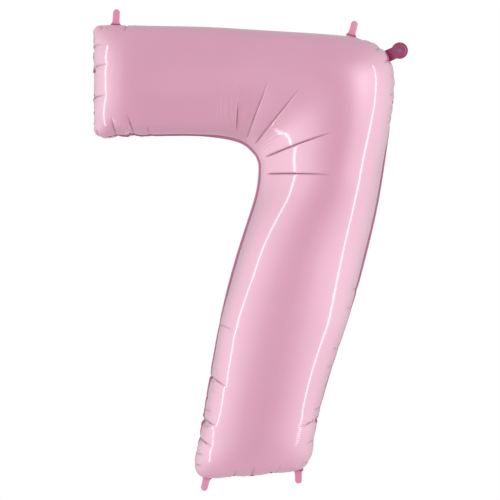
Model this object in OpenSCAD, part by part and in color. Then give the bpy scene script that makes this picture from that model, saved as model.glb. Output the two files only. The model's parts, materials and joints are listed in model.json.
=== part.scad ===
/* [Body] */
// Height of the inflated body, from its bottom seam to its top seam
body_h = 892; // [600:1:1100]
// How round the body stands, as a share of a fully round section
fullness = 1.0; // [0.8:0.01:1.05]

/* [Film] */
// Drawn thickness of one foil ply, which stands in for film of 0.04 mm
film_t = 0.4; // [0.3:0.05:0.6]
// Width of the heat-sealed margin outside the seam
seam_w = 6; // [4:0.5:10]

/* [Hanging tabs] */
// Width of a hanging tab
tab_w = 14; // [10:0.5:20]
// Length of a hanging tab, from the seam margin to its tip
tab_l = 31; // [18:0.5:36]

/* [Filling tail] */
// Radius of the tail's round end
tail_r = 16; // [14:0.5:20]
// Width of the tail where it leaves the seam margin
neck_w = 24; // [20:0.5:28]
// Distance from the seam margin to the centre of the round end
tail_l = 24; // [22:0.5:32]
// Radius of the filling hole in the tail's front ply
fill_hole_r = 5; // [4:0.25:6]
// Length of the self-closing valve inside the body
valve_l = 90; // [60:1:120]

/* [Mesh] */
// Steps across each rib of the inflated skin
across = 16; // [10:2:20]
// Steps along each stretch between two ribs
along = 2; // [1:1:3]

/* [Hidden] */

// The seam is drawn at this height and scaled to body_h.
drawn_h = 892;
k = body_h / drawn_h;
seam_gap = 0.05;
valve_t = 0.3;
valve_w = neck_w - 2;
channel_w = 12;
channel_gap = 0.1;
rim_w = 3;
mouth_inset = rim_w + 0.5;
mouth_end = tail_l + fill_hole_r + 3;
hinge_gap = 0.3;
tab_start = film_t + 0.1;
tail_t = film_t + valve_t + seam_gap + 0.05;
tail_start = tail_t + 0.1;
neck_lift = tail_t - film_t;
neck_clear = 16;
neck_at = 8.12;
top_left_at = 0.64;
top_right_at = 6.74;
bottom_left_share = 0.015;
bottom_right_share = 1;
end_steps = 6;
end_pitch = 75;
corner_r = 18;
fine_along = 6;
tip_steps = 24;

// Ribs from the end of the arm, round the corner and down the leg:
// outer seam x, z, inner seam x, z, and half the depth.
RIBS = [
  [-40,  -31, -38, -241, 103],
  [ 35,  -30,  35, -240, 104],
  [108,  -30, 108, -239, 105],
  [180,  -32, 180, -239, 107],
  [240,  -35, 240, -252, 111],
  [313,  -40, 254, -260, 119],
  [396,  -46, 265, -269, 127],
  [494,  -56, 274, -278, 134],
  [537,  -84, 278, -283, 137],
  [552, -135, 282, -288, 138],
  [542, -230, 286, -300, 134],
  [531, -312, 288, -312, 130],
  [524, -356, 284, -356, 128],
  [516, -400, 271, -400, 125],
  [495, -490, 243, -490, 121],
  [469, -580, 221, -580, 119],
  [439, -670, 203, -670, 115],
  [411, -756, 188, -758, 112],
  [393, -832, 173, -845, 109],
  [378, -905, 160, -922, 107]
];
last = len(RIBS) - 1;

function unit(v) = v / norm(v);
function turn(v) = [-v[1], v[0]];
function rib_row(i) = RIBS[max(0, min(last, i))];
function slope(i) = (rib_row(i + 1) - rib_row(i - 1)) / 2;

// A rib at any place w along the balloon, on a smooth curve through RIBS.
function rib(w) =
  let (i = min(last - 1, floor(w)), t = w - i)
  k * ((2*t*t*t - 3*t*t + 1) * rib_row(i) + (t*t*t - 2*t*t + t) * slope(i)
     + (3*t*t - 2*t*t*t) * rib_row(i + 1) + (t*t*t - t*t) * slope(i + 1));

// The ends' corners are round: how far a rib is drawn in at both its ends.
function draw_in(w) =
  let (short = corner_r - min(w, last - w) * end_pitch)
  short <= 0 ? 0 : corner_r - sqrt(corner_r * corner_r - short * short);
function seam_point(p, q, w) = p + draw_in(w) * unit(q - p);
function outer_seam(w) = let (r = rib(w)) seam_point([r[0], r[1]], [r[2], r[3]], w);
function inner_seam(w) = let (r = rib(w)) seam_point([r[2], r[3]], [r[0], r[1]], w);

// Rise of the closed ends, from 0 at the end seam to 1 one rib further in.
function rise(w) = let (e = min(w, last - w, 1)) sqrt(1 - (1 - e) * (1 - e));
function end_way(w) = w < 1 ? sqrt(1 - rise(w) * rise(w))
                    : w > last - 1 ? -sqrt(1 - rise(w) * rise(w)) : 0;

// Outward direction in the balloon's plane, at the outer and at the inner seam.
function outer_normal(w) =
  unit(turn(outer_seam(min(last, w + 0.04)) - outer_seam(max(0, w - 0.04))));
function inner_normal(w) =
  -unit(turn(inner_seam(min(last, w + 0.04)) - inner_seam(max(0, w - 0.04))));
// Outward direction off the arm's end; the leg's end is its opposite way.
function end_normal(w) = unit(turn(outer_seam(w) - inner_seam(w)));

// Rows of the skin: close together in the rounded ends and at the neck.
ROWS = concat(
  [for (i = [0 : end_steps]) 1 - cos(90 * i / end_steps)],
  [for (i = [1 : 6 * along]) 1 + i / along],
  [for (i = [1 : 2 * fine_along]) 7 + i / fine_along],
  [for (i = [1 : (last - 10) * along]) 9 + i / along],
  [for (i = [end_steps - 1 : -1 : 0]) last - 1 + cos(90 * i / end_steps)]
);
n_rows = len(ROWS);

neck_seam = outer_seam(neck_at);
neck_way = outer_normal(neck_at);
neck_root = neck_seam + (seam_w + hinge_gap) * neck_way;
neck_angle = atan2(neck_way[1], neck_way[0]);

// How far the margin stands off the seam plane to let the valve through.
function lift(p) = abs((p - neck_seam) * turn(neck_way)) < neck_clear
                   && norm(p - neck_seam) < 2 * neck_clear ? neck_lift : 0;

// One point of the front skin: row w, angle a across the rib, on its outer or inner face.
function skin(w, a, inner) =
  let (
    r = rib(w),
    o = outer_seam(w),
    i = inner_seam(w),
    across_way = unit(i - o),
    up = sin(a) * rise(w) * r[4] * fullness,
    flat = o + (i - o) * (1 - cos(a)) / 2,
    normal = -cos(a) * across_way + sin(a) * end_way(w) * end_normal(w),
    p = inner ? flat - film_t * normal : flat,
    l = a == 0 ? lift(o) : 0
  )
  [p[0], -(up + l + (inner ? 0 : film_t)), p[1]];

// One point of the margin's outer edge.
function edge(p, way, inner) =
  let (q = p + seam_w * way, l = lift(p)) [q[0], -(l + (inner ? 0 : film_t)), q[1]];

function side_row(w, inner, end) =
  let (e = end * end_normal(w), on = outer_normal(w), in = inner_normal(w))
  end == 0
  ? concat([edge(outer_seam(w), on, inner)],
           [for (c = [0 : across]) skin(w, 180 * c / across, inner)],
           [edge(inner_seam(w), in, inner)])
  : concat([edge(outer_seam(w), unit(on + e), inner)],
           [for (c = [0 : across])
             edge(outer_seam(w) + (inner_seam(w) - outer_seam(w)) * (1 - cos(180 * c / across)) / 2, e, inner)],
           [edge(inner_seam(w), unit(in + e), inner)]);

function sheet(inner) = concat(
  side_row(0, inner, 1),
  [for (w = ROWS) each side_row(w, inner, 0)],
  side_row(last, inner, -1));

// A closed thin shell from two equal grids of points and the strip that joins their edges.
module shell(rows, cols, top, bottom) {
  n = rows * cols;
  rim = concat([for (c = [0 : cols - 1]) c],
               [for (r = [1 : rows - 1]) r * cols + cols - 1],
               [for (c = [cols - 2 : -1 : 0]) (rows - 1) * cols + c],
               [for (r = [rows - 2 : -1 : 1]) r * cols]);
  m = len(rim);
  polyhedron(
    points = concat(top, bottom),
    faces = concat(
      [for (r = [0 : rows - 2], c = [0 : cols - 2])
        let (a = r * cols + c) each [[a, a + 1, a + cols + 1], [a, a + cols + 1, a + cols]]],
      [for (r = [0 : rows - 2], c = [0 : cols - 2])
        let (a = n + r * cols + c) each [[a, a + cols + 1, a + 1], [a, a + cols, a + cols + 1]]],
      [for (i = [0 : m - 1])
        let (a = rim[i], b = rim[(i + 1) % m]) each [[a, n + a, n + b], [a, n + b, b]]]));
}

module foil_panel() {
  shell(n_rows + 2, across + 3, sheet(false), sheet(true));
}

module front_foil_panel() {
  color("pink") foil_panel();
}

module rear_foil_panel() {
  color("pink") mirror([0, 1, 0]) foil_panel();
}

// Draws a flat outline in the balloon's plane between two depths.
module sheet_of(y0, y1) {
  translate([0, y1, 0]) rotate([90, 0, 0]) linear_extrude(y1 - y0) children();
}

// A strip from the hinge line to a round tip, leaning by an angle off the line's normal.
module tab_outline(lean) {
  tip_r = tab_w / 2;
  up = [sin(lean), cos(lean)];
  side = [cos(lean), -sin(lean)];
  tip = (tab_l - tip_r) * up;
  arc = [for (i = [0 : tip_steps]) let (a = 180 * i / tip_steps)
         tip + tip_r * (sin(a) * up - cos(a) * side)];
  polygon(concat([[-tip_r, tab_start]], arc, [[tip_r, tab_start]]));
}

// A tab is both plies fused together. It stands on the margin at a root [x, z],
// across the direction way in which the margin faces there.
module hanging_tab(root, way, lean) {
  color("hotpink")
    translate([root[0], 0, root[1]]) rotate([0, atan2(way[0], way[1]), 0])
      sheet_of(-film_t, film_t) tab_outline(lean);
}

function margin_root(w) = outer_seam(w) + (seam_w + hinge_gap) * outer_normal(w);
foot_way = -end_normal(last);
function foot_root(share) =
  let (i = inner_seam(last))
  i + (outer_seam(last) - i) * share + (seam_w + hinge_gap) * foot_way;

top_left_root = [0, margin_root(top_left_at)[1]];
top_right_root = margin_root(top_right_at);
bottom_left_root = foot_root(bottom_left_share);
bottom_right_root = foot_root(bottom_right_share);

module hanging_tab_top_left() {
  hanging_tab(top_left_root, [0, 1], 0);
}

module hanging_tab_top_right() {
  hanging_tab(top_right_root, outer_normal(top_right_at), 3);
}

module hanging_tab_bottom_left() {
  hanging_tab(bottom_left_root, foot_way, 19);
}

module hanging_tab_bottom_right() {
  hanging_tab(bottom_right_root, foot_way, 3);
}

// The tail, lying along +X from the hinge line.
module tail_outline(inset = 0) {
  start = inset > 0 ? 0 : tail_start;
  half = neck_w / 2 - inset;
  polygon([[start, -half], [tail_l, -half - 1], [tail_l, half + 1], [start, half]]);
  translate([tail_l, 0]) circle(tail_r - inset, $fn = 64);
}

module at_neck() {
  translate([neck_root[0], 0, neck_root[1]]) rotate([0, -neck_angle, 0]) children();
}

// One ply of the tail: a rim fused to the other ply, and a pocket that holds the valve.
module tail_ply() {
  difference() {
    sheet_of(-tail_t, 0) tail_outline();
    sheet_of(film_t - tail_t, 1) tail_outline(rim_w);
  }
}

// The hole through the front ply and the valve's front film, for the filling nozzle.
module fill_hole() {
  translate([tail_l, 0, 0]) rotate([90, 0, 0])
    cylinder(h = 4 * tail_t, r = fill_hole_r, center = true, $fn = 64);
}

module tail_front_ply() {
  color("palevioletred") at_neck() difference() {
    tail_ply();
    fill_hole();
  }
}

module tail_rear_ply() {
  color("palevioletred") at_neck() mirror([0, 1, 0]) tail_ply();
}

// One film of the valve from x0 to x1: fused along both sides, with a channel between.
module valve_film(x0, x1) {
  difference() {
    sheet_of(-valve_t - seam_gap, 0) translate([x0, -valve_w / 2]) square([x1 - x0, valve_w]);
    sheet_of(-channel_gap, 1) translate([x0 - 1, -channel_w / 2]) square([x1 - x0 + 2, channel_w]);
  }
}

module valve_mouth_film() {
  intersection() {
    valve_film(tail_start, mouth_end);
    sheet_of(-2, 2) tail_outline(mouth_inset);
  }
}

module valve_mouth_front_film() {
  color("lightgrey") at_neck() difference() {
    valve_mouth_film();
    fill_hole();
  }
}

module valve_mouth_rear_film() {
  color("lightgrey") at_neck() mirror([0, 1, 0]) valve_mouth_film();
}

module valve_tongue_front_film() {
  color("lightgrey") at_neck() valve_film(-valve_l, -hinge_gap);
}

module valve_tongue_rear_film() {
  color("lightgrey") at_neck() mirror([0, 1, 0]) valve_film(-valve_l, -hinge_gap);
}

front_foil_panel();
rear_foil_panel();
hanging_tab_top_left();
hanging_tab_top_right();
hanging_tab_bottom_left();
hanging_tab_bottom_right();
tail_front_ply();
tail_rear_ply();
valve_mouth_front_film();
valve_mouth_rear_film();
valve_tongue_front_film();
valve_tongue_rear_film();
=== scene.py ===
"""Looks for the inflated foil numeral: creased skins, sealed margins, tabs, tail and valve."""

import json
import math

import bpy
import numpy as np
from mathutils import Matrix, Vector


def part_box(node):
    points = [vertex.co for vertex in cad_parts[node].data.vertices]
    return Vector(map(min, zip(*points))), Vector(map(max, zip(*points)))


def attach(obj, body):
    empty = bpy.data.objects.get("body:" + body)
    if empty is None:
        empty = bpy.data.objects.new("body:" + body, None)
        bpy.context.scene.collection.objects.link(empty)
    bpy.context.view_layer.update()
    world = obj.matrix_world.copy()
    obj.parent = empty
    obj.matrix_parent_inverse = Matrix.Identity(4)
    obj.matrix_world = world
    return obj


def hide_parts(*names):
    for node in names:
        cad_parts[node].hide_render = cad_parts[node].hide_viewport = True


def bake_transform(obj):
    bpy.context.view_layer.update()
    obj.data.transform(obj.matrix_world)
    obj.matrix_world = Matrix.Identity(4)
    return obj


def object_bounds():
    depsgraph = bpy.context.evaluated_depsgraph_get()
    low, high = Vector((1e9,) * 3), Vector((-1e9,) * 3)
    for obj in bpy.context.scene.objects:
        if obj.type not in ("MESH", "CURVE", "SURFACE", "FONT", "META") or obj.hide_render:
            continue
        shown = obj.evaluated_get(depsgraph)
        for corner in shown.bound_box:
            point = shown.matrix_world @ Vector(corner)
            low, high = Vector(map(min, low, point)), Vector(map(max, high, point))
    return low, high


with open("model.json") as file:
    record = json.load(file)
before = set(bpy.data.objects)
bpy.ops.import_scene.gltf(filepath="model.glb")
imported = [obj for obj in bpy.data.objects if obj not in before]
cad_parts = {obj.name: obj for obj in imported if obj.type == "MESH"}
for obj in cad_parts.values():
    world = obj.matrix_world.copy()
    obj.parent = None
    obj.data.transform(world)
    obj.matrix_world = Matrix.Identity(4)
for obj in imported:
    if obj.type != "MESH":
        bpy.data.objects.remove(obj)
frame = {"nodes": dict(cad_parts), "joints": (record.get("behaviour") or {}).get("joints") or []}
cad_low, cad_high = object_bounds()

MM = 0.001
ROOT = "balloon_body"
FRONT, REAR = 0, 1

# ---- the body's ribs
# The same ribs as the CAD panels, in millimetres: outer seam x, z, inner seam x, z
# and half the depth, from the end of the arm, round the corner and down the leg.
RIBS = np.array([
    [-40, -31, -38, -241, 103],
    [35, -30, 35, -240, 104],
    [108, -30, 108, -239, 105],
    [180, -32, 180, -239, 107],
    [240, -35, 240, -252, 111],
    [313, -40, 254, -260, 119],
    [396, -46, 265, -269, 127],
    [494, -56, 274, -278, 134],
    [537, -84, 278, -283, 137],
    [552, -135, 282, -288, 138],
    [542, -230, 286, -300, 134],
    [531, -312, 288, -312, 130],
    [524, -356, 284, -356, 128],
    [516, -400, 271, -400, 125],
    [495, -490, 243, -490, 121],
    [469, -580, 221, -580, 119],
    [439, -670, 203, -670, 115],
    [411, -756, 188, -758, 112],
    [393, -832, 173, -845, 109],
    [378, -905, 160, -922, 107],
], float)
LAST = len(RIBS) - 1
RIB_TOP, RIB_FOOT = -24, -928
panel_low, panel_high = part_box("front_foil_panel")
RIB_SCALE = (panel_high.z - panel_low.z) / (RIB_TOP - RIB_FOOT)
ARM_CORNER_R = 18 * RIB_SCALE
FOOT_CORNER_R = 40 * RIB_SCALE
END_PITCH = 75 * RIB_SCALE
MARGIN_W = 6 * MM
# How far the seams are drawn in from the CAD's along the arm's outer side, round the inner
# corner, down the leg's inner side and at the arm's end, and how far the foot reaches out.
ARM_IN = 6 * MM
ELBOW_IN = 3 * MM
LEG_IN = 2 * MM
ARM_END_IN = 3 * MM
FOOT_OUT = 3 * MM
FOOT_BOW = 2 * MM
# The pull of the creases round the corner flattens the skin from this far out, this much,
# and the skin bulges past its seams by this many degrees.
FAN_R = 48 * MM
TAUT = 0.85
OVERHANG = 18
# Where those hold, as the first and last rib and the ribs over which they ease off.
ARM_RIBS = (-1, 7, 2.5)
ELBOW_RIBS = (6.0, 13, 2.0)
LEG_RIBS = (15, LAST + 3, 2)
TAUT_RIBS = (5.5, 11.2, 2.8)
UPRIGHT_RIBS = (11.4, 13.6, 2.0)
# Where the film is held to the smooth body more firmly while it is filled.
HELD_RIBS = (3.5, 13, 1.5)
END_BULGE = 4 * MM
FILM_T = 0.2 * MM

# ---- the skin's grid
ALONG = 704
ACROSS = 144


def unit(v):
    return v / np.maximum(np.linalg.norm(v, axis=-1, keepdims=True), 1e-12)


def rib_curve(w):
    """Ribs at the places w, on the curve through RIBS, in metres."""
    i = np.clip(np.floor(w).astype(int), 0, LAST - 1)
    t = (w - i)[:, None]

    def row(k):
        return RIBS[np.clip(k, 0, LAST)]

    def slope(k):
        return (row(k + 1) - row(k - 1)) / 2

    return RIB_SCALE * ((2 * t**3 - 3 * t**2 + 1) * row(i) + (t**3 - 2 * t**2 + t) * slope(i)
                        + (3 * t**2 - 2 * t**3) * row(i + 1) + (t**3 - t**2) * slope(i + 1))


def rib_at(w):
    """Ribs at the places w, rounded off a little where the curve turns."""
    side = 0.6 * np.minimum(1, np.minimum(w, LAST - w))
    return (rib_curve(w - side) + 2 * rib_curve(w) + rib_curve(w + side)) / 4


def seams_at(w):
    """Outer and inner seam points (x, z) and half the depth at the places w."""
    r = rib_at(w)
    outer, inner = r[:, 0:2], r[:, 2:4]
    corner = np.where(w < LAST / 2, ARM_CORNER_R, FOOT_CORNER_R)
    short = np.maximum(corner - np.minimum(w, LAST - w) * END_PITCH, 0)
    draw_in = (corner - np.sqrt(np.maximum(corner**2 - short**2, 0)))[:, None]
    way = unit(inner - outer)
    outer_in = (ARM_IN * swell(w, *ARM_RIBS))[:, None]
    inner_in = (ELBOW_IN * swell(w, *ELBOW_RIBS) + LEG_IN * swell(w, *LEG_RIBS))[:, None]
    ends = np.stack([ARM_END_IN * np.clip(1 - w, 0, 1), -FOOT_OUT * np.clip(w - LAST + 1, 0, 1)], 1)
    outer = outer + (draw_in + outer_in) * way + ends
    inner = inner - (draw_in + inner_in) * way + ends
    return outer, inner, r[:, 4]


def end_rise(w):
    """Rise of the closed ends, from 0 at the end seam to 1 one rib further in."""
    e = np.minimum(np.minimum(w, LAST - w), 1)
    return np.sqrt(np.maximum(1 - (1 - e)**2, 0))


def crown_line(w):
    outer, inner, depth = seams_at(w)
    middle = (outer + inner) / 2
    return np.stack([middle[:, 0], -depth * end_rise(w), middle[:, 1]], 1)


def even_rows(count):
    """Places w whose crown points are evenly spaced over the skin."""
    quarter = np.linspace(0, math.pi / 2, 400)
    fine = np.concatenate([1 - np.cos(quarter), np.linspace(1, LAST - 1, 4000)[1:-1],
                           LAST - 1 + np.sin(quarter)])
    step = np.linalg.norm(np.diff(crown_line(fine), axis=0), axis=1)
    length = np.concatenate([[0], np.cumsum(step)])
    return np.interp(np.linspace(0, length[-1], count + 1), length, fine)


def swell(w, start, stop, ease):
    """1 between two ribs, easing to 0 over ease ribs beyond them."""
    x = np.clip(np.minimum(w - start + ease, stop + ease - w) / ease, 0, 1)
    return x * x * (3 - 2 * x)


def sections(width, taut, over):
    """Sections of the skin as distances from the outer seam and heights, both per unit
    width, and as far apart along the film. A taut one is flatter towards the inner seam,
    because the film's pull there is gathered into the creases round the corner. An
    overhanging one bulges past its seams by the angle over."""
    steps = 480
    step = 4.0 / steps
    low, high = np.full(len(width), 0.3), np.full(len(width), 6.0)
    near = FAN_R / width
    for _ in range(30):
        bend = (low + high) / 2
        q, h, angle = np.zeros_like(width), np.zeros_like(width), math.pi / 2 + over
        line = [np.stack([q, h], 1)]
        landed = np.zeros(len(width), bool)
        for _ in range(steps):
            share = (near + 1 - q) / (near + 0.5)
            turn = np.where(landed, 0, step * bend * ((1 - taut) + taut * np.maximum(share, 0.1)))
            move = np.where(landed, 0, step)
            q, h = q + move * np.cos(angle - turn / 2), h + move * np.sin(angle - turn / 2)
            angle = angle - turn
            line.append(np.stack([q, h], 1))
            landed = landed | (h <= 0)
        low, high = np.where(q > 1, bend, low), np.where(q > 1, high, bend)
    line = np.array(line)
    even = np.linspace(0, 1, ACROSS + 1)
    out = []
    for k in range(len(width)):
        one = line[:, k]
        last = int(np.argmax(one[1:, 1] <= 0)) + 1
        one = one[:last + 1].copy()
        back = one[-1, 1] / (one[-1, 1] - one[-2, 1])
        one[-1] = one[-1] + (one[-2] - one[-1]) * back
        one[:, 0] /= one[-1, 0]
        one[:, 1] /= one[:, 1].max()
        run = np.concatenate([[0], np.cumsum(np.hypot(*np.diff(one * (1, 0.5), axis=0).T))])
        out.append(np.stack([np.interp(even * run[-1], run, one[:, i]) for i in (0, 1)], 1))
    return np.array(out)


def smooth_body(w):
    """The smooth body as points [side, row, column, xyz], and how far across each is."""
    outer, inner, depth = seams_at(w)
    over = np.radians(OVERHANG) * (1 - 0.9 * swell(w, *UPRIGHT_RIBS))
    section = sections(np.linalg.norm(inner - outer, axis=1), TAUT * swell(w, *TAUT_RIBS), over)
    share = section[..., :1]
    flat = outer[:, None] * (1 - share) + inner[:, None] * share
    rise = end_rise(w)
    bulge = END_BULGE * 4 * rise * (1 - rise)
    arch = np.sin(math.pi * np.clip(section[..., 0], 0, 1))
    bow = FOOT_BOW * np.clip(w - LAST + 1, 0, 1)[:, None] * arch
    away = np.where(w < LAST / 2, -1, 1)[:, None] * unit(np.gradient((outer + inner) / 2, axis=0))
    flat = flat + (away * bulge[:, None])[:, None] * np.minimum(section[..., 1:] * 2, 1)
    flat = flat + away[:, None] * bow[..., None]
    up = (depth * rise)[:, None] * section[..., 1]
    front = np.stack([flat[..., 0], -up, flat[..., 1]], -1)
    return np.stack([front, front * (1, -1, 1)]), section[..., 0]


# ---- inflating the film
# The gas's push per grid pitch, the film's extra length at the closed ends, its give to
# squeezing and bending, the share of speed kept, and how firmly it is held to the smooth body.
PRESS = 4e-4
CAP_SIDE_SLACK = 0.15
CAP_END_SLACK = 0.2
SQUEEZE_GIVE = 4.0
BEND_GIVE = 24.0
DAMP = 0.985
HOLD_SKIN = 2e-5
HOLD_CORNER = 3e-4
HOLD_SEAM = 4e-3

BOTH = (FRONT, REAR)
# Creases round the inner corner: panel, rib, where it starts and ends as distances from the
# inner seam, slant along the body, film gathered in it and depth, all in millimetres.
FAN = (
    (FRONT, 4.23, 14, 66, 0, 0, 3.6), (FRONT, 5.39, 8, 118, 3, 0, 6.0),
    (FRONT, 6.65, 10, 138, 4, 0, 7.0), (FRONT, 9.70, 12, 146, 9, 0, 7.0),
    (FRONT, 11.25, 12, 134, 15, 0, 5.0), (REAR, 4.60, 12, 80, 0, 0, 3.0),
    (REAR, 5.95, 8, 125, 0, 0, 4.4), (REAR, 7.90, 10, 140, 0, 0, 5.2),
    (REAR, 10.3, 10, 140, 0, 0, 4.6), (REAR, 11.8, 12, 100, 0, 0, 3.0),
)
# Creases that run in from a seam on both panels: rib, length, slant, film and depth.
LEG_INNER = (
    (15.48, 24, 8, 1.5, 1.2), (16.65, 34, 14, 3.0, 4.2), (17.38, 10, 2, 1.5, 1.2),
    (17.59, 28, 10, 3.0, 4.0), (18.05, 24, 10, 2.5, 3.6), (18.35, 8, 0, 1.5, 1.6),
    (18.58, 8, 0, 1.5, 1.6),
)
LEG_OUTER = (
    (8.90, 8, 0, 1.5, 1.4), (9.35, 12, 2, 2.0, 2.0), (9.65, 7, 0, 1.0, 1.2),
    (9.93, 9, 2, 1.5, 1.6), (14.70, 7, 0, 1.0, 1.4), (15.12, 6, 0, 1.0, 1.2),
    (16.00, 7, 0, 1.0, 1.4), (16.42, 6, 0, 1.0, 1.2), (17.43, 8, 0, 1.5, 2.0),
    (17.70, 36, 10, 2.5, 3.8), (18.22, 12, 3, 1.5, 1.8), (18.70, 8, 0, 1.5, 1.6),
)
ARM_OUTER = (
    (0.30, 8, 0, 1.0, 1.4), (0.88, 14, -3, 2.0, 2.0), (6.98, 7, 0, 1.0, 1.2),
    (7.35, 7, 0, 1.0, 1.2), (7.74, 14, -2, 1.5, 4.0), (8.34, 16, 3, 1.5, 4.0),
)
ARM_INNER = (
    (0.16, 9, 0, 1.0, 3.2), (0.60, 28, -4, 3.5, 4.4), (1.05, 34, -10, 3.5, 4.4),
    (1.45, 10, 0, 1.0, 1.2),
)
# All of them as panels, rib, seam, start, end, slant, film and depth.
CREASES = [((panel,), rib, "inner", *rest) for panel, rib, *rest in FAN]
for _seam, _creases in (("inner", LEG_INNER), ("outer", LEG_OUTER),
                        ("outer", ARM_OUTER), ("inner", ARM_INNER)):
    CREASES += [(BOTH, rib, _seam, 0, *rest) for rib, *rest in _creases]
# Creases that run in from a closed end: the end, its share of the way from the outer to
# the inner seam, length, slant across the body, film and depth in millimetres.
END_CREASES = [
    (0, 0.186, 30, -4, 3.0, 3.6),
    (0, 0.39, 42, -5, 3.0, 4.2),
    (0, 0.68, 38, -5, 3.0, 4.2),
    (0, 0.965, 9, 0, 1.0, 3.2),
    (0, 0.89, 10, 0, 1.5, 1.6),
    (LAST, 0.25, 30, 0, 1.5, 3.0),
    (LAST, 0.49, 38, 0, 2.0, 3.4),
    (LAST, 0.66, 30, 0, 1.5, 3.0),
]
# Patches of fine ribs pressed across the skin: ribs from and to, seam, nearest and farthest
# from it and depth in millimetres.
RIBBED = [
    (16.84, 16.98, "inner", 24, 48, 0.10),
    (17.66, 18.22, "inner", 24, 52, 0.12),
    (17.66, 18.22, "outer", 22, 56, 0.12),
]
RIB_SPACING = 4.5 * MM
# Fine wrinkles round the inner corner: ribs from and to, how many, nearest start and depth.
FINE_WRINKLES = ((3.30, 4.15, 9, 10, 1.8), (4.35, 5.35, 11, 10, 0.8), (5.50, 6.50, 7, 60, 0.5),
                 (6.90, 9.30, 6, 60, 0.25))
BESIDE = 12
WRINKLE_SEED = 11
FILM_SEED = 7
# Widths of a crease's groove and of the soft flanks beside one from a seam and one round the
# corner, and the flanks' depths against the groove's.
SHARP_WIDTH = 1.0 * MM
LOBE_WIDTH = 9 * MM
FAN_WIDTH = 13 * MM
FLANK_DEPTH = (0.55, 0.25)
# A crease this deep, in millimetres, gets the full painted shade at its bottom, which fades over
# this width beside its line.
FULL_SHADE_DEPTH = 2.5
FOLD_SHADE_WIDTH = 1.2 * MM
RISES_OVER, OPEN_FADE, SEAM_FADE = 0.12, 0.7, 1.4
# The skin's swelling at the root of the tail: rib, radius and height.
NUB_AT = 8.04
NUB_RADIUS = 10 * MM
NUB_HEIGHT = 5 * MM
# Half width of the gathered film along the seam, and as a share of the way across.
FILM_WIDTH = 5 * MM
END_FILM_WIDTH = 0.02
RIB_PITCH = 80 * MM


def gap(a, b):
    return np.linalg.norm(b - a, axis=-1)


def narrow(places, at, width):
    """A narrow bump of unit sum along the first axis."""
    bump = np.exp(-((places - at) / width)**2)
    return bump / np.maximum(bump.sum(0, keepdims=True), 1e-9)


def crown_places(body):
    step = gap(body[FRONT, :-1, ACROSS // 2], body[FRONT, 1:, ACROSS // 2])
    return np.concatenate([[0], np.cumsum(step)])


def taper(x, start):
    """How much of a crease there is at x, the share of its length from its start. One that
    starts at the seam is deepest there; one that starts on the open film deepens first."""
    if start > 0:
        depth = np.clip(x / RISES_OVER, 0, 1) * np.clip(1 - x, 0, 1)**OPEN_FADE
    else:
        depth = np.clip(1 - x, 0, 1)**SEAM_FADE
    return np.where((x >= 0) & (x <= 1), depth, 0)


def cut_film(w, body, share):
    """Lengths of both panels' grids along and across. They have more film than the smooth
    body needs, gathered where the creases are."""
    u = gap(body[:, :-1], body[:, 1:])
    v = gap(body[:, :, :-1], body[:, :, 1:])
    outer, inner, _ = seams_at(w)
    width = gap(outer, inner)[:-1, None]
    place = crown_places(body)
    halfway = ((place[1:] + place[:-1]) / 2)[:, None]
    middle = (w[1:] + w[:-1]) / 2
    cap = (np.minimum(middle, LAST - middle) < 1)[:, None]
    crown = u[:, :, ACROSS // 2][..., None]
    cut_u = u + np.where(cap, CAP_SIDE_SLACK * np.maximum(crown - u, 0), 0)
    for sides, rib, seam, start, end, slant, film, depth in CREASES:
        from_seam = (share[:-1] if seam == "outer" else 1 - share[:-1]) * width
        x = (from_seam - start * MM) / ((end - start) * MM)
        at = np.interp(rib, w, place) + slant * MM * x
        there = taper(np.maximum(x, 0 if start == 0 else -1), start)
        extra = film * MM * narrow(halfway, at, FILM_WIDTH) * there
        for side in sides:
            cut_u[side] += extra
    in_cap = np.minimum(np.minimum(w, LAST - w), 1)
    first = int(np.argmax(w > 1))
    last = len(w) - 1 - int(np.argmax(w[::-1] < LAST - 1))
    full = np.where((w < LAST / 2)[:, None], v[FRONT, first][None], v[FRONT, last][None])
    cut_v = v + np.where(in_cap[:, None] < 1, CAP_END_SLACK * np.maximum(full - v, 0), 0)
    share_at = (share[:, 1:] + share[:, :-1]) / 2
    for end, across, length, slant, film, depth in END_CREASES:
        x = np.abs(w - end)[:, None] * RIB_PITCH / (length * MM)
        at = across + slant * MM * x / width.max()
        extra = film * MM * narrow(share_at.T, at.T, END_FILM_WIDTH).T * taper(x, 0)
        cut_v = cut_v + extra
    return cut_u, cut_v


def column_at(row, across, share):
    """Grid columns a share of the way across the skin, in the given grid rows."""
    low = np.clip(row.astype(int), 0, len(share) - 1)
    columns = np.arange(share.shape[1])
    return np.array([np.interp(a, np.maximum.accumulate(share[r]), columns)
                     for r, a in zip(low, across)])


def seam_path(w, share, rib, seam, start, end, slant):
    """A crease from a seam as grid rows and columns, with each point's share of its length."""
    outer, inner, _ = seams_at(w)
    x = np.linspace(0, 1, 24)
    at = rib + slant * MM * x / RIB_PITCH
    row = np.interp(at, w, np.arange(len(w)))
    far = (start + (end - start) * x) * MM / np.interp(at, w, gap(outer, inner))
    column = column_at(row, far if seam == "outer" else 1 - far, share)
    if start == 0:
        rim = 0 if seam == "outer" else share.shape[1] - 1
        lead = np.linspace(rim, column[1], 9)[:-1]
        column = np.concatenate([lead, column[1:]])
        row = np.concatenate([np.full(8, row[0]), row[1:]])
        x = np.concatenate([np.zeros(8), x[1:]])
    return row, column, x


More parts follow.
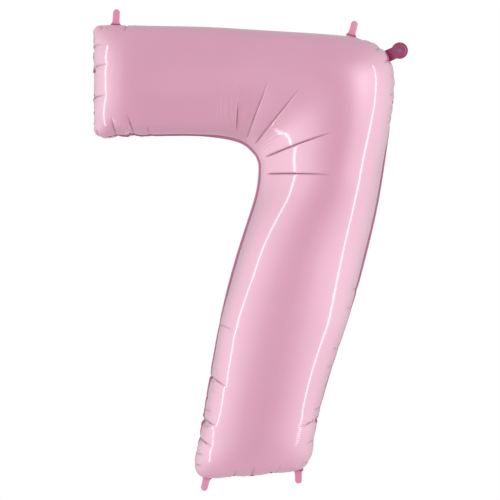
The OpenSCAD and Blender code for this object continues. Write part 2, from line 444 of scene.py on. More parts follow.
def crease_paths(w, share):
    """Every crease as its panels, grid rows and columns, shares, start, depth and flank."""
    paths = []
    for sides, rib, seam, start, end, slant, film, depth in CREASES:
        flank = FAN_WIDTH if start > 0 else LOBE_WIDTH
        path = seam_path(w, share, rib, seam, start, end, slant)
        paths.append((sides, *path, start, depth, flank))
    outer, inner, _ = seams_at(w)
    width = gap(outer, inner).max()
    for end, across, length, slant, film, depth in END_CREASES:
        x = np.linspace(0, 1, 32)**2
        row = np.interp(np.abs(end - length * MM * x / RIB_PITCH), w, np.arange(len(w)))
        inside = np.maximum(row, 3) if end == 0 else np.minimum(row, len(w) - 4)
        column = column_at(inside, across + slant * MM * x / width, share)
        paths.append((BOTH, row, column, x, 0, depth, LOBE_WIDTH))
    return paths


def wrinkle_paths(w, share):
    """Fine shallow wrinkles that fan out round the inner corner, in the form of creases."""
    rng = np.random.default_rng(WRINKLE_SEED)
    paths = []
    for first, last, count, near, depth in FINE_WRINKLES:
        for rib in np.linspace(first, last, count) + rng.normal(0, 0.03, count):
            start = near + rng.uniform(0, 30)
            end = max(start + 25, rng.uniform(70, 120))
            path = seam_path(w, share, rib, "inner", start, end, rng.uniform(-2, 2))
            paths.append((BOTH, *path, start, depth * rng.uniform(0.5, 1), None))
    return paths


def press_creases(body, paths, scale, width):
    """Presses each crease into the skin as a sharp groove between soft flanks, and gives the
    painted shade for the bottom of its fold at each point, from 0 to 1."""
    out = outward(body)
    middle = body.mean(0)
    half = body.shape[2] // 2
    out[:, :, 0] = unit(middle[:, 0] - middle[:, half])
    out[:, :, -1] = unit(middle[:, -1] - middle[:, half])
    out[:, 0] = unit(middle[0] - middle[8])
    out[:, -1] = unit(middle[-1] - middle[-9])
    place = crown_places(body)
    rows = np.arange(body.shape[1])
    moved = np.zeros_like(body)
    painted_fold_shade = np.zeros(body.shape[:3])
    for sides, row, column, share_at, start, depth, flank in paths:
        reach = 3 * (flank or width)
        r0, r1 = np.searchsorted(place, [np.interp(row.min(), rows, place) - reach,
                                         np.interp(row.max(), rows, place) + reach])
        c0 = int(max(column.min() - BESIDE, 0))
        c1 = int(min(column.max() + BESIDE + 1, body.shape[2]))
        i = np.minimum(row.astype(int), body.shape[1] - 2)
        j = np.minimum(column.astype(int), body.shape[2] - 2)
        fi, fj = (row - i)[:, None], (column - j)[:, None]
        for side in sides:
            b = body[side]
            line = ((b[i, j] * (1 - fj) + b[i, j + 1] * fj) * (1 - fi)
                    + (b[i + 1, j] * (1 - fj) + b[i + 1, j + 1] * fj) * fi)
            patch = b[r0:r1, c0:c1]
            a, d = line[:-1], np.diff(line, axis=0)
            rel = patch[:, :, None] - a
            along = np.clip((rel * d).sum(-1) / ((d * d).sum(-1) + 1e-12), 0, 1)
            far = np.linalg.norm(rel - along[..., None] * d, axis=-1)
            best = far.argmin(-1)
            near = np.take_along_axis(far, best[..., None], -1)[..., 0]
            x = np.interp(best + np.take_along_axis(along, best[..., None], -1)[..., 0],
                          np.arange(len(share_at)), share_at)
            groove = np.exp(-near / width)
            # Painted shade: dark along the crease's line, fully so for a deep crease, fading with
            # its taper and away from the line.
            fold = min(depth / FULL_SHADE_DEPTH, 1) * np.minimum(taper(x, start) * 2, 1)
            fold = fold * np.exp(-near / FOLD_SHADE_WIDTH)
            painted_fold_shade[side, r0:r1, c0:c1] = np.maximum(painted_fold_shade[side, r0:r1, c0:c1], fold)
            if flank:
                groove = groove + FLANK_DEPTH[start > 0] * np.exp(-(near / flank)**2)
            deep = scale * depth * MM * taper(x, start) * groove
            moved[side, r0:r1, c0:c1] -= out[side, r0:r1, c0:c1] * deep[..., None]
    body += moved
    weld(body)
    return painted_fold_shade


def press_ribs(body, w, share):
    """Presses the patches of fine ribs into both skins."""
    outer, inner, _ = seams_at(w)
    width = gap(outer, inner)[:, None]
    out = outward(body)
    place = crown_places(body)
    wave = np.sin(2 * math.pi * place / RIB_SPACING)
    for first, last, seam, near, far, depth in RIBBED:
        from_seam = (share if seam == "outer" else 1 - share) * width / MM
        across = np.clip(np.minimum(from_seam - near, far - from_seam) / 8, 0, 1)
        along = np.clip(np.minimum(w - first, last - w) / 0.06, 0, 1)
        body += out * (depth * MM * (wave * along)[:, None] * across)[..., None]


def push_nub(body, w):
    """Swells the skin over the root of the tail, where the gas runs on into it."""
    row = int(np.argmin(np.abs(w - NUB_AT)))
    root = (body[FRONT, row, 0] + body[REAR, row, 0]) / 2
    far = gap(body, root)
    away = unit(root - body.mean(0)[row, body.shape[2] // 2])
    body += away * (NUB_HEIGHT * np.exp(-(far / NUB_RADIUS)**2))[..., None]


def resample(grid, at, axis):
    """A grid's values at fractional places along an axis, on smooth curves through them."""
    low = np.clip(np.floor(at).astype(int), 0, grid.shape[axis] - 2)
    t = (at - low).reshape([-1 if k == axis else 1 for k in range(grid.ndim)])

    def take(k):
        return np.take(grid, np.clip(k, 0, grid.shape[axis] - 1), axis)

    a, b, c, d = take(low - 1), take(low), take(low + 1), take(low + 2)
    return b + t / 2 * (c - a + t * (2 * a - 5 * b + 4 * c - d + t * (3 * (b - c) + d - a)))


# Spacing of the final grid's rows and columns, in the open and round the creases.
ROW_PITCH, COLUMN_PITCH = 5.2 * MM, 3.7 * MM
FAN_PITCH, PUCKER_PITCH, END_PUCKER_PITCH = 0.6 * MM, 1.0 * MM, 1.3 * MM
WRINKLE_PITCH, RIBBED_PITCH, SEAM_PITCH = 1.5 * MM, 1.1 * MM, 2 * MM


def graded(length, zones, coarse):
    """Places along a length, coarse apart, and finer inside zones of (from, to, spacing)."""
    fine = np.linspace(0, length, 12000)
    spacing = np.full(len(fine), coarse)
    for first, last, pitch in zones:
        inside = (fine > first) & (fine < last)
        spacing[inside] = np.minimum(spacing[inside], pitch)
    density = np.convolve(np.pad(1 / spacing, 15, mode="edge"), np.ones(31) / 31, "valid")
    count = np.concatenate([[0], np.cumsum((density[1:] + density[:-1]) / 2 * np.diff(fine))])
    return np.interp(np.linspace(0, count[-1], int(count[-1]) // 4 * 4 + 1), count, fine)


def refine(w, body, share):
    """The skin on its final grid, whose rows and columns crowd together round the creases."""
    place = crown_places(body)

    def row_place(rib):
        return float(np.interp(rib, w, place))

    zones = []
    for sides, rib, seam, start, end, slant, film, depth in CREASES:
        a, b = sorted((row_place(rib), row_place(rib) + slant * MM))
        if start > 0:
            zones.append((a - 3 * MM, b + 3 * MM, FAN_PITCH))
        else:
            zones.append((a - 4 * MM, b + 4 * MM, PUCKER_PITCH))
    for first, last, *_ in FINE_WRINKLES[:3]:
        zones.append((row_place(first), row_place(last), WRINKLE_PITCH))
    for first, last, *_ in RIBBED:
        zones.append((row_place(first), row_place(last), RIBBED_PITCH))
    rows = np.interp(graded(place[-1], zones, ROW_PITCH), place, np.arange(len(place)))
    end_row = body[FRONT, 12]
    across = np.concatenate([[0], np.cumsum(gap(end_row[:-1], end_row[1:]))])
    zones = [(0, 12 * MM, SEAM_PITCH), (across[-1] - 12 * MM, across[-1], SEAM_PITCH)]
    for end, at, *_ in END_CREASES:
        middle = float(np.interp(at, np.maximum.accumulate(share[12]), across))
        zones.append((middle - 4 * MM, middle + 4 * MM, END_PUCKER_PITCH))
    columns = np.interp(graded(across[-1], zones, COLUMN_PITCH), across, np.arange(len(across)))
    body = resample(resample(body, rows, 1), columns, 2)
    share = resample(resample(share, rows, 0), columns, 1)
    return np.interp(rows, np.arange(len(w)), w), body, share


def coarser(cut_u, cut_v, step):
    """Cut lengths of both panels for a grid step times as coarse."""
    rows, columns = cut_u.shape[1] // step, cut_v.shape[2] // step
    u = cut_u[:, :, ::step].reshape(2, rows, step, -1).sum(2)
    v = cut_v[:, ::step].reshape(2, -1, columns, step).sum(3)
    return u, v


def diagonals(body, u, v):
    """Cut lengths of both diagonals, with the smooth body's angle between its grid lines."""
    one = gap(body[FRONT, :-1, :-1], body[FRONT, 1:, 1:])
    two = gap(body[FRONT, :-1, 1:], body[FRONT, 1:, :-1])
    u0 = gap(body[FRONT, :-1], body[FRONT, 1:])
    v0 = gap(body[FRONT, :, :-1], body[FRONT, :, 1:])
    lean = (one**2 - two**2) / 4 / ((u0[:, 1:] + u0[:, :-1]) / 2 * (v0[1:] + v0[:-1]) / 2 + 1e-12)
    lean = np.clip(lean, -0.9, 0.9)
    square = u[:, :, 1:] * u[:, :, :-1] + v[:, 1:] * v[:, :-1]
    cross = 2 * lean * (u[:, :, 1:] + u[:, :, :-1]) / 2 * (v[:, 1:] + v[:, :-1]) / 2
    return np.sqrt(square + cross), np.sqrt(np.maximum(square - cross, 1e-12))


def outward(body):
    """Outward directions of both skins; zero on the seams."""
    a = body[:, 2:, 1:-1] - body[:, :-2, 1:-1]
    b = body[:, 1:-1, 2:] - body[:, 1:-1, :-2]
    n = np.empty_like(a)
    n[..., 0] = a[..., 1] * b[..., 2] - a[..., 2] * b[..., 1]
    n[..., 1] = a[..., 2] * b[..., 0] - a[..., 0] * b[..., 2]
    n[..., 2] = a[..., 0] * b[..., 1] - a[..., 1] * b[..., 0]
    n /= np.sqrt(np.einsum("...k,...k->...", n, n))[..., None] + 1e-12
    n[FRONT] *= -1
    out = np.zeros_like(body)
    out[:, 1:-1, 1:-1] = n
    return out


def weld(body):
    """Joins the front skin's rim to the rear skin's."""
    for rim in (np.s_[0], np.s_[-1], np.s_[:, 0], np.s_[:, -1]):
        middle = (body[FRONT][rim] + body[REAR][rim]) / 2
        body[FRONT][rim] = middle
        body[REAR][rim] = middle


def pull_to(a, b, rest, pull, push):
    d = b - a
    length = np.sqrt(np.einsum("...k,...k->...", d, d)) + 1e-9
    over = length - rest
    d *= (over * np.where(over > 0, pull, push) / length)[..., None]
    a += d
    b -= d


def constraint_sets(body, u, v):
    """Pairs of points that share a cut length, in sets whose pairs don't meet."""
    one, two = diagonals(body, u, v)
    pull, push, bend = 0.5, 1 / (2 + SQUEEZE_GIVE), 1 / (2 + BEND_GIVE)
    rows, columns = body.shape[1], body.shape[2]
    cut, spans = [], []
    for p in (0, 1):
        low, high = slice(p, rows - 1, 2), slice(p + 1, rows, 2)
        left, right = slice(p, columns - 1, 2), slice(p + 1, columns, 2)
        cut += [(np.s_[:, low], np.s_[:, high], u[:, p::2]),
                (np.s_[:, :, left], np.s_[:, :, right], v[:, :, p::2]),
                (np.s_[:, low, :-1], np.s_[:, high, 1:], one[:, p::2]),
                (np.s_[:, low, 1:], np.s_[:, high, :-1], two[:, p::2])]
    for p in range(4):
        low, high = slice(p, rows - 2, 4), slice(p + 2, rows, 4)
        left, right = slice(p, columns - 2, 4), slice(p + 2, columns, 4)
        spans += [(np.s_[:, low], np.s_[:, high], (u[:, :-1] + u[:, 1:])[:, p::4]),
                  (np.s_[:, :, left], np.s_[:, :, right],
                   (v[:, :, :-1] + v[:, :, 1:])[:, :, p::4])]
    return ([(a, b, rest.astype(np.float32), pull, push) for a, b, rest in cut]
            + [(a, b, rest.astype(np.float32), bend, bend) for a, b, rest in spans])


def relax(body, smooth, u, v, hold, steps):
    """Fills the film with gas: its cut lengths hold, and pressure pushes it outward."""
    sets = constraint_sets(smooth, u, v)
    body = body.astype(np.float32)
    target = smooth.astype(np.float32)
    hold = hold[None, ..., None].astype(np.float32)
    speed = np.zeros_like(body)
    pitch = float(u.mean())
    for step in range(steps):
        if step % 2 == 0:
            push = outward(body) * (PRESS * pitch)
        speed = (speed + push + hold * (target - body)) * DAMP
        before = body.copy()
        body += speed
        for a, b, rest, pull, squeeze in sets:
            pull_to(body[a], body[b], rest, pull, squeeze)
        weld(body)
        speed = body - before
    return body.astype(float)


def finer(shift, step):
    """Shifts of a coarse grid, spread in straight lines over a grid step times as fine."""
    for axis in (1, 2):
        count = shift.shape[axis]
        place = np.arange((count - 1) * step + 1) / step
        low = np.minimum(place.astype(int), count - 2)
        share = (place - low).reshape([-1 if k == axis else 1 for k in range(4)])
        shift = np.take(shift, low, axis) * (1 - share) + np.take(shift, low + 1, axis) * share
    return shift


# How coarse each grid is, and how many steps it is run for.
LEVELS = ((4, 400), (2, 300), (1, 150))


def inflate(w, smooth, share):
    """Fills the film with gas, on ever finer grids."""
    cut_u, cut_v = cut_film(w, smooth, share)
    paths = [path for path in crease_paths(w, share) if path[4] == 0]
    seed = smooth.copy()
    press_creases(seed, paths, 0.7, 8 * MM)
    rng = np.random.default_rng(FILM_SEED)
    corner = swell(w, *HELD_RIBS)
    hold = np.repeat((HOLD_SKIN + (HOLD_CORNER - HOLD_SKIN) * corner)[:, None], smooth.shape[2], 1)
    hold[0] = hold[-1] = HOLD_SEAM
    hold[:, 0] = hold[:, -1] = HOLD_SEAM
    level = LEVELS[0][0]
    shift = (seed - smooth)[:, ::level, ::level]
    shift = shift + rng.normal(0, 0.05 * MM, shift.shape)
    for step, count in LEVELS:
        if step != level:
            shift = finer(shift, level // step)
            level = step
        base = smooth[:, ::step, ::step]
        u, v = coarser(cut_u, cut_v, step)
        shift = relax(base + shift, base, u, v, hold[::step, ::step], count) - base
    return smooth + shift


def skins():
    """Both skins' points [side, row, column, xyz] with all their creases, and the shade painted
    into their folds.
    """
    w = even_rows(ALONG)
    smooth, share = smooth_body(w)
    body = inflate(w, smooth, share)
    w, body, share = refine(w, body, share)
    painted_fold_shade = press_creases(body, crease_paths(w, share), 1.0, SHARP_WIDTH)
    press_creases(body, wrinkle_paths(w, share), 1.0, SHARP_WIDTH)
    press_ribs(body, w, share)
    push_nub(body, w)
    weld(body)
    return body, painted_fold_shade


# ---- meshes
def turned(faces, flip):
    return faces[..., ::-1] if flip else faces


def grid_faces(rows, columns, flip):
    a = (np.arange(rows - 1)[:, None] * columns + np.arange(columns - 1)[None]).ravel()
    quads = np.stack([a, a + 1, a + columns + 1, a + columns], 1)
    return turned(quads, flip)


def make_mesh(name, points, faces, smooth=True):
    mesh = bpy.data.meshes.new(name)
    mesh.from_pydata(points.reshape(-1, 3).tolist(), [], [list(map(int, f)) for f in faces])
    if smooth:
        mesh.shade_smooth()
    mesh.update()
    obj = bpy.data.objects.new(name, mesh)
    bpy.context.scene.collection.objects.link(obj)
    return obj


def rim_loop(rows, columns):
    top = np.arange(columns)
    right = np.arange(1, rows) * columns + columns - 1
    bottom = (rows - 1) * columns + np.arange(columns - 2, -1, -1)
    left = np.arange(rows - 2, 0, -1) * columns
    return np.concatenate([top, right, bottom, left])


def shell(name, inner, outer, flip, kept=None):
    """A closed thin shell between two grids of points, the inner one with only the kept
    columns if they are given."""
    rows, columns = outer.shape[:2]
    kept = np.arange(columns) if kept is None else kept
    inner = inner[:, kept]
    n = rows * columns
    rim = rim_loop(rows, columns)
    back = rim_loop(rows, len(kept)) + n
    after = (kept[1:] - kept[:-1]).tolist()
    steps = after + [1] * (rows - 1) + after[::-1] + [1] * (rows - 1)
    faces = grid_faces(rows, columns, flip).tolist()
    faces += (grid_faces(rows, len(kept), not flip) + n).tolist()
    at = 0
    for k, step in enumerate(steps):
        edge = [rim[(at + i) % len(rim)] for i in range(step + 1)]
        side = edge + [back[(k + 1) % len(back)], back[k]]
        faces.append(side[::-1] if flip else side)
        at += step
    return make_mesh(name, np.concatenate([outer.reshape(-1, 3), inner.reshape(-1, 3)]), faces)


def margin_ways(body):
    """The way the sealed margin points at each rim point."""
    middle = (body[FRONT] + body[REAR]) / 2
    rows, columns = middle.shape[:2]
    ways = np.zeros_like(middle)
    for rim, inside, far in ((np.s_[0], np.s_[1], np.s_[rows // 8]),
                             (np.s_[-1], np.s_[-2], np.s_[-rows // 8]),
                             (np.s_[:, 0], np.s_[:, 1], np.s_[:, columns // 2]),
                             (np.s_[:, -1], np.s_[:, -2], np.s_[:, columns // 2])):
        along = np.gradient(middle[rim], axis=0)
        through = body[FRONT][inside] - body[REAR][inside]
        way = unit(np.cross(along, through))
        way *= np.sign((way * (middle[rim] - middle[far])).sum(-1, keepdims=True) + 1e-12)
        ways[rim] = ways[rim] + way
    return unit(ways)


# Rows of faces across the margin. The inner layer keeps every column this near a side and
# one in so many between, and stands back this far there.
MARGIN_STEPS = 2
INNER_EDGE = 6
INNER_STEP = 4
INNER_BACK = 2 * MM
FILM_GAP = 0.03 * MM


def pad_margin(points, ways, width, steps):
    """Adds the margin's rows and columns all round a grid of points."""
    around = ((1, 1), (1, 1), (0, 0))
    for _ in range(steps):
        points = np.pad(points, around, mode="edge")
        ways = np.pad(ways, around, mode="edge")
        for rim in (np.s_[0, 1:-1], np.s_[-1, 1:-1], np.s_[1:-1, 0], np.s_[1:-1, -1]):
            points[rim] += ways[rim] * (width / steps)
        for r, next_r in ((0, 1), (-1, -2)):
            for c, next_c in ((0, 1), (-1, -2)):
                points[r, c] = (points[r, next_c] + points[next_r, c]) / 2
    return points


def face_ways(points, sign):
    a = np.gradient(points, axis=0)
    b = np.gradient(points, axis=1)
    return unit(np.cross(a, b)) * sign


def set_fold_shade(obj, painted_fold_shade):
    """Keeps the shade painted into a piece's folds at its points, from its first point on."""
    values = np.zeros(len(obj.data.vertices), np.float32)
    values[:len(painted_fold_shade)] = painted_fold_shade
    obj.data.attributes.new("painted_fold_shade", "FLOAT", "POINT").data.foreach_set("value", values)


def end_ease(rows):
    """0 on the first and last rows, rising to 1 a few rows further in."""
    row = np.arange(rows)
    return np.clip((np.minimum(row, rows - 1 - row) - 4) / 4, 0, 1)


def build_panels(body, painted_fold_shade, film, margin):
    """The two foil panels, each a film that swells to the seam and lies flat in the margin.
    Its unseen inner layer has fewer columns, so it stands back a little between the seams."""
    ways = margin_ways(body)
    for side, name, cad in ((FRONT, "front_panel_skin", "front_foil_panel"),
                            (REAR, "rear_panel_skin", "rear_foil_panel")):
        inner = pad_margin(body[side], ways, MARGIN_W, MARGIN_STEPS)
        n = face_ways(inner, -1 if side == FRONT else 1)
        gapped = inner + n * FILM_GAP
        rows, columns = inner.shape[:2]
        column = np.arange(columns)
        from_edge = np.minimum(column, columns - 1 - column)
        kept = column[(from_edge <= INNER_EDGE) | (column % INNER_STEP == 0)]
        back = INNER_BACK * np.clip((from_edge - 4) / 4, 0, 1)[None] * end_ease(rows)[:, None]
        obj = shell(name, gapped - n * back[..., None], gapped + n * FILM_T, side == FRONT, kept)
        set_fold_shade(obj, np.pad(painted_fold_shade[side], MARGIN_STEPS, mode="edge").ravel())
        # The margin's faces get the margin film, painted darker for the shade the margin lies in
        # behind the bulging skin.
        edge = np.zeros((rows - 1, columns - 1), int)
        edge[:MARGIN_STEPS] = edge[-MARGIN_STEPS:] = 1
        edge[:, :MARGIN_STEPS] = edge[:, -MARGIN_STEPS:] = 1
        slots = np.zeros(len(obj.data.polygons), int)
        slots[:edge.size] = edge.ravel()
        obj.data.materials.append(film)
        obj.data.materials.append(margin)
        obj.data.polygons.foreach_set("material_index", slots)
        obj.data.update()
        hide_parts(cad)
        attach(obj, ROOT)
        obj.visible_glossy = False


# ---- tabs and tail
TAB_HALF = 7 * MM
TAB_LONG = 31 * MM
TAB_FLARE = 3.5 * MM
TAB_FILM = 0.28 * MM
TAB_ROOT = 12 * MM
# Tab, lean in degrees, then in millimetres its curl, its shift along the fold and how far
# past the fold it leaves the outline.
TABS = (
    ("top_left", 4, 1.2, -1, 1),
    ("top_right", 8, -1.0, -2, 1),
    ("bottom_left", 19, 1.6, -1.5, 4),
    ("bottom_right", 3, -1.4, -4, 4),
)
NECK_HALF = 12 * MM
TAIL_R = 16.5 * MM
TAIL_LONG = 24.5 * MM
TAIL_LEAN = 8
TAIL_ROOT = 10 * MM
TAIL_RIM = 3 * MM
TAIL_PUFF = 1.7 * MM
FILL_R = 5 * MM


def hinge(name):
    """A fold's place, the direction along it and the direction out from the balloon."""
    joint = next(j for j in frame["joints"] if j["name"] == name)
    along = unit(np.array([joint["axis"][0], 0, joint["axis"][2]], float))
    return np.array(joint["pos_m"], float), along, np.array([-along[2], 0, along[0]])


def bend_over(piece, root, out):
    """Bakes a piece's placing into its points."""
    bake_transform(piece)


def build_tab(name, lean, curl, shift, edge, film):
    """A fused tab: flared where it leaves the margin, round at its tip and a little curled."""
    root, side, out = hinge(name + "_tab_fold")
    root = root + side * shift * MM
    edge = edge * MM
    lean = math.radians(lean)
    up = math.cos(lean) * out + math.sin(lean) * side
    across = math.cos(lean) * side - math.sin(lean) * out
    tip = TAB_LONG - TAB_HALF
    round_end = tip + TAB_HALF * np.sin(np.radians(np.arange(8, 89, 8)))
    s = np.concatenate([np.linspace(edge - TAB_ROOT, tip, 26), round_end])
    half = TAB_HALF + TAB_FLARE * np.exp(-np.maximum(s - edge, 0) / (2.5 * MM))
    half = np.where(s > tip, np.sqrt(np.maximum(TAB_HALF**2 - (s - tip)**2, 0)), half)
    t = np.linspace(-1, 1, 13)
    free = np.clip(s / TAB_LONG, 0, 1)[:, None]
    bow = curl * MM * free**2 * 2 + 0.5 * MM * free * (t * t) * np.sign(curl)
    flat = root + s[:, None, None] * up + (half[:, None] * t)[..., None] * across
    middle = flat + bow[..., None] * np.array([0, -1, 0])
    film_side = np.array([0, -TAB_FILM, 0])
    obj = shell(name + "_tab_skin", middle - film_side, middle + film_side, False)
    # Painted shadow: a dark line across the tab's root, where it leaves the margin behind the
    # skin's bulge.
    fold = np.repeat(0.9 * np.exp(-((s - edge) / (1.5 * MM))**2), len(t))
    set_fold_shade(obj, np.tile(fold, 2))
    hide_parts("hanging_tab_" + name)
    obj.data.materials.append(film)
    bend_over(obj, root, out)


def ring_shell(name, inner, outer, flip, closed):
    """A thin shell of rings, open at its first ring or closed there by a small cap."""
    rings, count = outer.shape[:2]
    n = rings * count
    a = np.arange(count)
    b = (a + 1) % count
    faces = []
    for r in range(rings - 1):
        quad = np.stack([a, b, b + count, a + count], 1) + r * count
        faces += turned(quad, flip).tolist()
        faces += (turned(quad, not flip) + n).tolist()
    rim = np.stack([b, a, a + n, b + n], 1) + (rings - 1) * count
    faces += turned(rim, flip).tolist()
    if closed:
        faces += [turned(a, not flip).tolist(), turned(a + n, flip).tolist()]
    else:
        faces += turned(np.stack([a, b, b + n, a + n], 1), flip).tolist()
    return make_mesh(name, np.concatenate([outer.reshape(-1, 3), inner.reshape(-1, 3)]), faces)


def build_tail(film):
    """The tail's two plies, fused round the rim over the flat valve, the front one holed."""
    root, side, out = hinge("tail_fold")
    lean = math.radians(TAIL_LEAN)
    forward = math.cos(lean) * out + math.sin(lean) * side
    middle = root + TAIL_LONG * forward
    turn = np.linspace(0, 2 * math.pi, 120, endpoint=False)
    ahead, beside = np.cos(turn), np.abs(np.sin(turn))
    behind, aside = np.maximum(-ahead, 1e-3), np.maximum(beside, 1e-3)
    neck = np.minimum((TAIL_LONG + TAIL_ROOT) / behind, NECK_HALF / aside)
    reach = np.where(ahead < 0, np.maximum(neck, TAIL_R), TAIL_R)
    sideways = math.cos(lean) * side - math.sin(lean) * out
    way = ahead[:, None] * forward + np.sin(turn)[:, None] * sideways
    for sign, name, first in ((-1, "tail_front", FILL_R), (1, "tail_rear", 1 * MM)):
        r = first + (reach - first) * np.linspace(0, 1, 16)[:, None]
        lift = swell(reach - r, TAIL_RIM + 3 * MM, 1, 3 * MM) * TAIL_PUFF + 0.45 * MM
        lift = lift + 0.2 * MM * np.sin(5 * turn + 1.3) * (r / TAIL_R)
        inside = middle + r[..., None] * way + (sign * lift)[..., None] * np.array([0, 1, 0])
        outside = inside + np.array([0, sign * FILM_T, 0])
        obj = ring_shell(name + "_skin", inside, outside, sign > 0, sign > 0)
        # Painted shade: dark on the neck where it leaves the body; the tail is also painted darker
        # towards its rim.
        neck_shade = 0.85 * np.exp(-(np.maximum((outside - root) @ out, 0) / (7 * MM))**2)
        rim_darkening = 0.45 * np.exp(-((reach - r) / (1.5 * MM))**2)
        set_fold_shade(obj, np.maximum(neck_shade, rim_darkening).ravel())
        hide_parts(name + "_ply")
        obj.data.materials.append(film)
        bend_over(obj, root, out)


# ---- materials
def new_material(name):
    mat = bpy.data.materials.new(name)
    mat.use_nodes = True
    nodes, links = mat.node_tree.nodes, mat.node_tree.links
    return mat, nodes, links, nodes["Principled BSDF"]


# The open film's coat weight, and the painted shade colour at the bottom of a fold.
COAT = 0.7
FOLD_SHADE_TONE = (0.24, 0.008, 0.075)


def set_inputs(node, **values):
    for name, value in values.items():
        node.inputs[name.replace("_", " ")].default_value = value


def add_node(nodes, kind, **values):
    node = nodes.new("ShaderNode" + kind)
    set_inputs(node, **values)
    return node


def shade_folds(nodes, links, colour, shader):
    """Paints shade into the film, darkening it and dulling its coat towards the bottom of each
    fold.
    """
    painted_fold_shade = add_node(nodes, "Attribute")
    painted_fold_shade.attribute_name = "painted_fold_shade"
    shade = add_node(nodes, "Mix")
    shade.data_type = "RGBA"
    mix_in = [socket for socket in shade.inputs if socket.type == "RGBA"]
    mix_out = [socket for socket in shade.outputs if socket.type == "RGBA"]
    mix_in[1].default_value = (*FOLD_SHADE_TONE, 1)
    links.new(painted_fold_shade.outputs["Fac"], shade.inputs[0])
    links.new(colour, mix_in[0])
    links.new(mix_out[0], shader.inputs["Base Color"])
    open_film = add_node(nodes, "Math")
    open_film.operation = "MULTIPLY_ADD"
    open_film.inputs[1].default_value = -COAT
    open_film.inputs[2].default_value = COAT
    links.new(painted_fold_shade.outputs["Fac"], open_film.inputs[0])
    links.new(open_film.outputs[0], shader.inputs["Coat Weight"])


def foil(name, light, deep, metallic, roughness, bump, coat, paints_fold_shade=False):
    """Glossy printed film: a drift between two tones and faint crinkles under a clear coat of the
    given IOR, with shade painted into the bottom of each fold if asked."""
    mat, nodes, links, shader = new_material(name)
    set_inputs(shader, Metallic=metallic, Roughness=roughness, Specular_IOR_Level=0.1,
               Coat_Weight=COAT, Coat_IOR=coat, Coat_Roughness=0.08)
    where = add_node(nodes, "TexCoord")
    drift = add_node(nodes, "TexNoise", Scale=3.5, Detail=3)
    links.new(where.outputs["Object"], drift.inputs["Vector"])
    tones = add_node(nodes, "ValToRGB")
    for stop, place, tone in zip(tones.color_ramp.elements, (0.35, 0.7), (deep, light)):
        stop.position = place
        stop.color = (*tone, 1)
    links.new(drift.outputs["Fac"], tones.inputs["Fac"])
    links.new(tones.outputs["Color"], shader.inputs["Base Color"])
    if paints_fold_shade:
        shade_folds(nodes, links, tones.outputs["Color"], shader)
    crinkle = add_node(nodes, "TexNoise", Scale=90, Detail=4)
    links.new(where.outputs["Object"], crinkle.inputs["Vector"])
    relief = add_node(nodes, "Bump", Strength=bump, Distance=0.0004)
    links.new(crinkle.outputs["Fac"], relief.inputs["Height"])
    links.new(relief.outputs["Normal"], shader.inputs["Normal"])
    return mat


# ---- studio
# The tent's brightness from the front, and how much is added at the sides, above and below
# and behind; the glow's direction, narrowness and strength.
TENT_FRONT = 0.55
TENT_SIDES = 1.25
TENT_ENDS = 0.06
TENT_BACK = 0.15
TENT_FOCUS = 2.0
TENT_FILL = 0.36
GLOW_WAY = (0.62, -0.72, 0.32)
GLOW_FOCUS = 10
GLOW = 1.0
# The balloon's height over its tabs fills this share of the picture.
FILLED, OF_FRAME = 481, 500
LENS, SENSOR = 100, 36
# Lights: name, x and z from the balloon's middle and y, size in metres, power in watts,
# pitch, turn and whether reflections show it.
RIGHT_ANGLE = math.pi / 2
LIGHTS = (
    ("strip_left", (-1.7, -0.3, 0), (0.11, 3.0), 2.7, RIGHT_ANGLE, -RIGHT_ANGLE, True),
    ("strip_right", (1.7, -0.45, 0), (0.11, 3.0), 2.7, RIGHT_ANGLE, RIGHT_ANGLE, True),
    ("front_light", (0, -3.0, 0), (2.0, 2.0), 46, RIGHT_ANGLE, 0, False),
    ("rear_light", (0, 3.0, 0), (2.0, 2.0), 46, RIGHT_ANGLE, math.pi, False),
    ("top_light", (0, 0, 2.2), (2.0, 1.0), 8, 0, 0, False),
    ("low_light", (0, 0, -2.2), (2.0, 1.0), 10, math.pi, 0, False),
)
FLOOR_CORNERS = ((-3, -3, 0), (3, -3, 0), (3, 1.4, 0), (-3, 1.4, 0))
FLOOR_DROP = 0.35


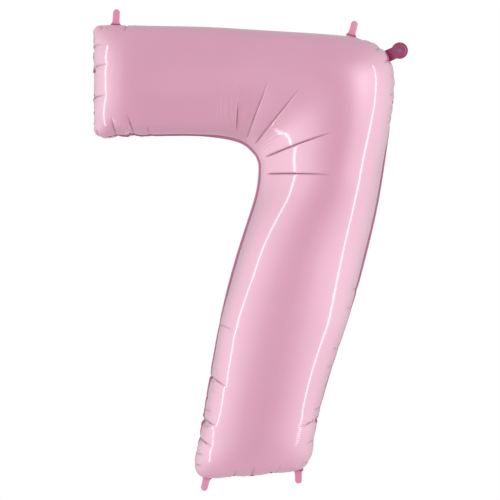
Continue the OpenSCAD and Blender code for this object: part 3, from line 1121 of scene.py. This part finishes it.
def world_light(scene):
    """A soft tent of light that the foil mirrors, brighter to the left and right and also
    above and below, with a glow high on the right, an even fill, and white behind everything."""
    world = bpy.data.worlds.new("studio")
    scene.world = world
    world.use_nodes = True
    nodes, links = world.node_tree.nodes, world.node_tree.links

    def math_node(operation, *values):
        node = nodes.new("ShaderNodeMath")
        node.operation = operation
        for socket, value in zip(node.inputs, values):
            if isinstance(value, (int, float)):
                socket.default_value = value
            else:
                links.new(value, socket)
        return node.outputs[0]

    way = nodes.new("ShaderNodeTexCoord")
    parts = nodes.new("ShaderNodeSeparateXYZ")
    links.new(way.outputs["Generated"], parts.inputs[0])
    sideways = math_node("POWER", math_node("ABSOLUTE", parts.outputs["X"]), TENT_FOCUS)
    upward = math_node("POWER", math_node("ABSOLUTE", parts.outputs["Z"]), 2)
    bright = math_node("MULTIPLY_ADD", sideways, TENT_SIDES, TENT_FRONT)
    bright = math_node("MULTIPLY_ADD", upward, TENT_ENDS, bright)
    glow = nodes.new("ShaderNodeVectorMath")
    glow.operation = "DOT_PRODUCT"
    glow.inputs[1].default_value = unit(np.array(GLOW_WAY, float)).tolist()
    links.new(way.outputs["Generated"], glow.inputs[0])
    glow = math_node("POWER", math_node("MAXIMUM", glow.outputs["Value"], 0), GLOW_FOCUS)
    bright = math_node("MULTIPLY_ADD", glow, GLOW, bright)
    behind = math_node("MAXIMUM", parts.outputs["Y"], 0)
    bright = math_node("MULTIPLY", bright, math_node("MULTIPLY_ADD", behind, TENT_BACK, 1))
    rays = nodes.new("ShaderNodeLightPath")
    glossy = rays.outputs["Is Glossy Ray"]
    even = math_node("MULTIPLY_ADD", glossy, -TENT_FILL, TENT_FILL)
    bright = math_node("MULTIPLY_ADD", bright, glossy, even)
    tent = nodes["Background"]
    tent.inputs["Color"].default_value = (1, 0.985, 0.99, 1)
    links.new(bright, tent.inputs["Strength"])
    backdrop = nodes.new("ShaderNodeBackground")
    backdrop.inputs["Color"].default_value = (1, 1, 1, 1)
    mix = nodes.new("ShaderNodeMixShader")
    links.new(rays.outputs["Is Camera Ray"], mix.inputs[0])
    links.new(tent.outputs[0], mix.inputs[1])
    links.new(backdrop.outputs[0], mix.inputs[2])
    links.new(mix.outputs[0], nodes["World Output"].inputs["Surface"])


def area_light(name, place, size, watts, pitch, turn, mirrored):
    """A light that is either seen in reflections or lights the film, and never both."""
    light = bpy.data.lights.new(name, "AREA")
    light.shape = "RECTANGLE"
    light.size, light.size_y = size
    light.energy = watts
    lamp = bpy.data.objects.new(name, light)
    lamp.location = place
    lamp.rotation_euler = (pitch, 0, turn)
    lamp.visible_camera = False
    lamp.visible_glossy = mirrored
    lamp.visible_diffuse = not mirrored
    bpy.context.scene.collection.objects.link(lamp)


def studio():
    middle = (cad_low + cad_high) / 2
    size = cad_high - cad_low
    scene = bpy.context.scene
    scene.view_settings.view_transform = "Standard"
    world_light(scene)

    view_height = size.z * OF_FRAME / FILLED
    distance = view_height * LENS / SENSOR
    camera_data = bpy.data.cameras.new("camera")
    camera_data.lens = LENS
    camera_data.sensor_width = SENSOR
    camera = bpy.data.objects.new("camera", camera_data)
    camera.location = (middle.x, middle.y - distance, middle.z)
    camera.rotation_euler = (math.pi / 2, 0, 0)
    scene.collection.objects.link(camera)
    scene.camera = camera

    for name, place, *light in LIGHTS:
        area_light(name, (middle.x + place[0], place[1], middle.z + place[2]), *light)

    corners = np.array(FLOOR_CORNERS) + (middle.x, 0, cad_low.z - FLOOR_DROP)
    floor = make_mesh("floor", corners, [[0, 1, 2, 3]], False)
    mat, _, _, shader = new_material("floor")
    set_inputs(shader, Base_Color=(0.9, 0.89, 0.9, 1), Roughness=0.8)
    floor.data.materials.append(mat)
    floor.visible_glossy = False
    floor.visible_diffuse = False
    floor.visible_shadow = False


def main():
    studio()
    pink = foil("pink_foil", (0.84, 0.37, 0.54), (0.80, 0.33, 0.50),
                metallic=0.15, roughness=0.35, bump=0.04, coat=3.0, paints_fold_shade=True)
    # The margin is the same film, painted darker for the shade it lies in behind the bulging skin.
    margin = foil("shaded_margin_foil", (0.52, 0.16, 0.30), (0.46, 0.12, 0.26),
                  metallic=0.2, roughness=0.35, bump=0.3, coat=2.0)
    build_panels(*skins(), pink, margin)
    tab_pink = foil("tab_foil", (0.86, 0.33, 0.51), (0.82, 0.29, 0.47),
                    metallic=0.2, roughness=0.3, bump=0.3, coat=2.0, paints_fold_shade=True)
    for name, lean, curl, shift, edge in TABS:
        build_tab(name, lean, curl, shift, edge, tab_pink)
    # The tail's film is painted darker than the skin's, for the shade it hangs in.
    shaded_tail_pink = foil("tail_foil", (0.42, 0.09, 0.20), (0.33, 0.05, 0.14),
                     metallic=0.2, roughness=0.3, bump=0.3, coat=1.5, paints_fold_shade=True)
    build_tail(shaded_tail_pink)
    film = foil("valve_film", (0.50, 0.16, 0.30), (0.44, 0.12, 0.26),
                metallic=0.0, roughness=0.3, bump=0.3, coat=1.5)
    for name, obj in frame["nodes"].items():
        if name.startswith("valve"):
            obj.data.materials.clear()
            obj.data.materials.append(film)


main()
